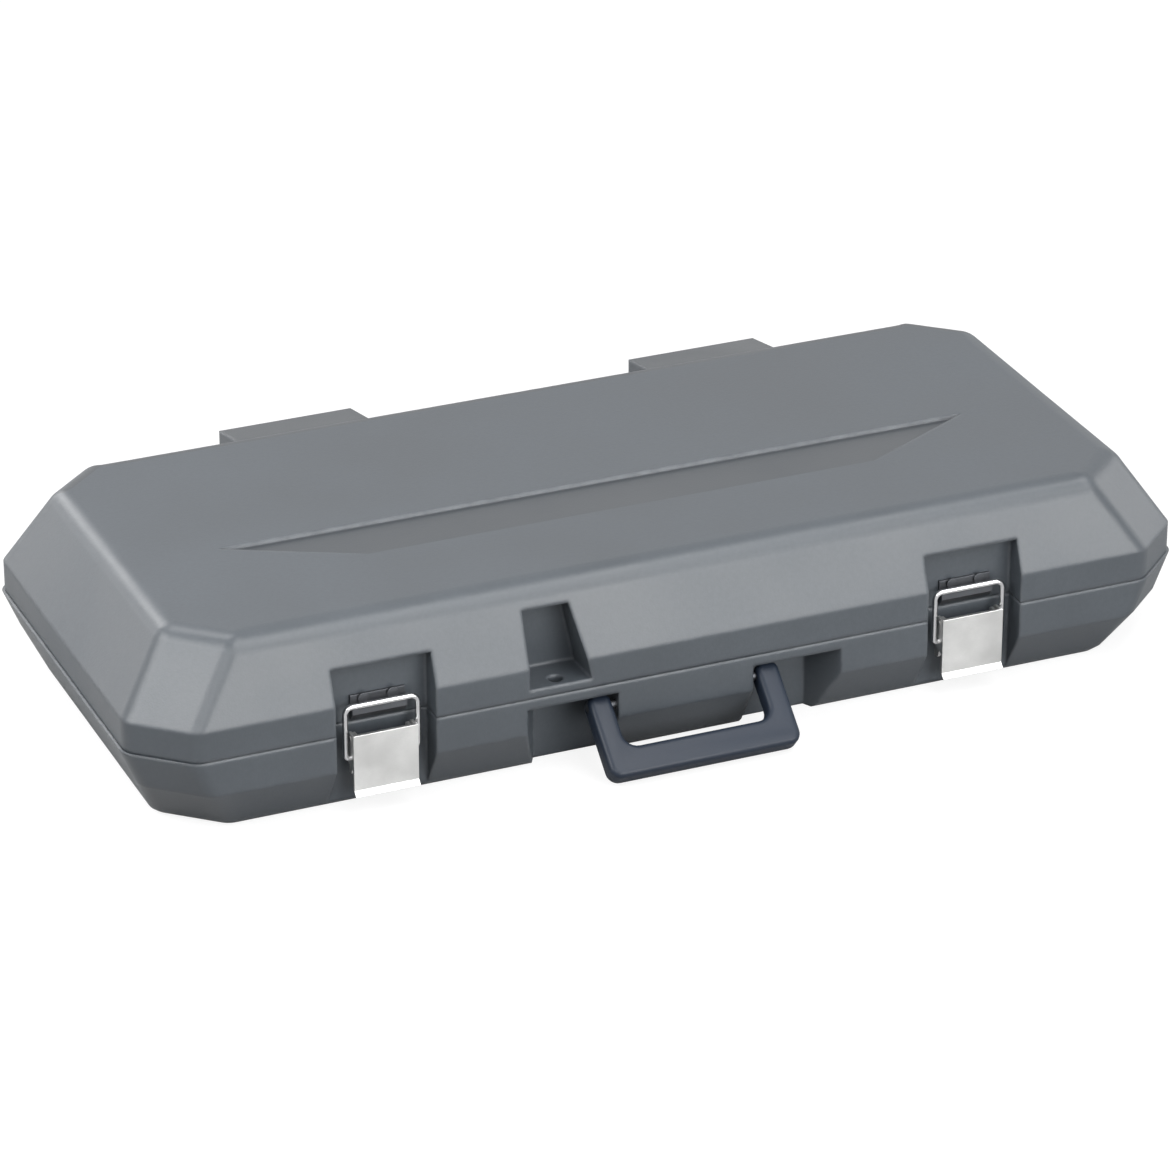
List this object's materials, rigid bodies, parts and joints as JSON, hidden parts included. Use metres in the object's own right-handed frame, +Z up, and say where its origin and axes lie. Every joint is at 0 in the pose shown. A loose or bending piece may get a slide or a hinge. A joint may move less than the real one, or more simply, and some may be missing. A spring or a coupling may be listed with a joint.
{
  "type": "socket wrench set in case",
  "caption": "Grey moulded carry case with draw latches, swing handle and hinged lid, holding a ratchet, extension bars and hexagon sockets in a tray.",
  "frame": {"origin": "centre of the case's flat underside, under the middle of the shells", "axes": "+X along the case's length to the right as seen from the front, +Y from the front to the hinges, +Z up"},
  "size_m": [0.603, 0.2997, 0.106],
  "materials": {
    "case_plastic": "fine moulded texture, grey",
    "handle_plastic": "smooth, dark navy",
    "tray_plastic": "moulded, black",
    "latch_steel": "satin, bright",
    "latch_wire": "bright plated wire",
    "fastener_steel": "plain, turned",
    "tool_chrome": "satin chrome",
    "mechanism_steel": "ground, dark"
  },
  "bodies": {
    "base": {"base_shell": "case_plastic", "tool_tray": "tray_plastic", "latch_left_bracket": "latch_steel", "latch_left_rivets": "fastener_steel", "latch_left_pin": "fastener_steel", "hinge_pin_left": "fastener_steel", "latch_right_bracket": "latch_steel", "latch_right_rivets": "fastener_steel", "latch_right_pin": "fastener_steel", "hinge_pin_right": "fastener_steel", "handle_pins": "fastener_steel", "socket_50": "tool_chrome", "socket_46": "tool_chrome", "socket_41": "tool_chrome", "socket_38": "tool_chrome", "socket_36": "tool_chrome", "socket_32": "tool_chrome", "socket_30": "tool_chrome", "socket_27": "tool_chrome", "socket_24": "tool_chrome", "socket_22": "tool_chrome", "socket_21": "tool_chrome", "socket_19": "tool_chrome", "extension_long": "tool_chrome", "extension_short": "tool_chrome", "ratchet_head": "tool_chrome", "ratchet_cover": "mechanism_steel", "ratchet_cover_screws": "fastener_steel", "ratchet_handle": "tool_chrome", "ratchet_handle_pin": "fastener_steel"},
    "lid": {"lid_shell": "case_plastic", "latch_left_catch": "latch_steel", "latch_right_catch": "latch_steel", "catch_left_rivets": "fastener_steel", "catch_right_rivets": "fastener_steel"},
    "handle": {"carry_handle": "handle_plastic"},
    "latch_left": {"latch_left_lever": "latch_steel"},
    "latch_right": {"latch_right_lever": "latch_steel"},
    "bail_left": {"latch_left_bail": "latch_wire"},
    "bail_right": {"latch_right_bail": "latch_wire"},
    "ratchet_drive": {"ratchet_gear": "mechanism_steel"},
    "ratchet_selector": {"ratchet_reverser": "tool_chrome", "ratchet_pawl": "mechanism_steel"}
  },
  "joints": [
    {"name": "lid_hinge", "type": "hinge", "parent": "base", "child": "lid", "pos_m": [0, 0.136, 0.047], "axis": [-1, 0, 0], "range_deg": [0, 110]},
    {"name": "handle_swing", "type": "hinge", "parent": "base", "child": "handle", "pos_m": [0, -0.1235, 0.032], "axis": [-1, 0, 0], "range_deg": [0, 60]},
    {"name": "latch_left_lever", "type": "hinge", "parent": "base", "child": "latch_left", "pos_m": [-0.168, -0.1225, 0.0413], "axis": [-1, 0, 0], "range_deg": [0, 150]},
    {"name": "latch_left_bail", "type": "hinge", "parent": "latch_left", "child": "bail_left", "pos_m": [-0.168, -0.1217, 0.02983], "axis": [-1, 0, 0], "range_deg": [-135, 0]},
    {"name": "latch_right_lever", "type": "hinge", "parent": "base", "child": "latch_right", "pos_m": [0.168, -0.1225, 0.0413], "axis": [-1, 0, 0], "range_deg": [0, 150]},
    {"name": "latch_right_bail", "type": "hinge", "parent": "latch_right", "child": "bail_right", "pos_m": [0.168, -0.1217, 0.02983], "axis": [-1, 0, 0], "range_deg": [-135, 0]},
    {"name": "ratchet_drive", "type": "hinge", "parent": "base", "child": "ratchet_drive", "pos_m": [-0.242, 0.073, 0.0422], "axis": [0, 0, 1], "continuous": true},
    {"name": "ratchet_reverser", "type": "hinge", "parent": "base", "child": "ratchet_selector", "pos_m": [-0.2175, 0.073, 0.0422], "axis": [0, 0, 1], "range_deg": [0, 40]}
  ],
  "couplings": [
    {"joint": "latch_left_bail", "follows": "latch_left_lever", "ratio": -0.9},
    {"joint": "latch_right_bail", "follows": "latch_right_lever", "ratio": -0.9}
  ]
}
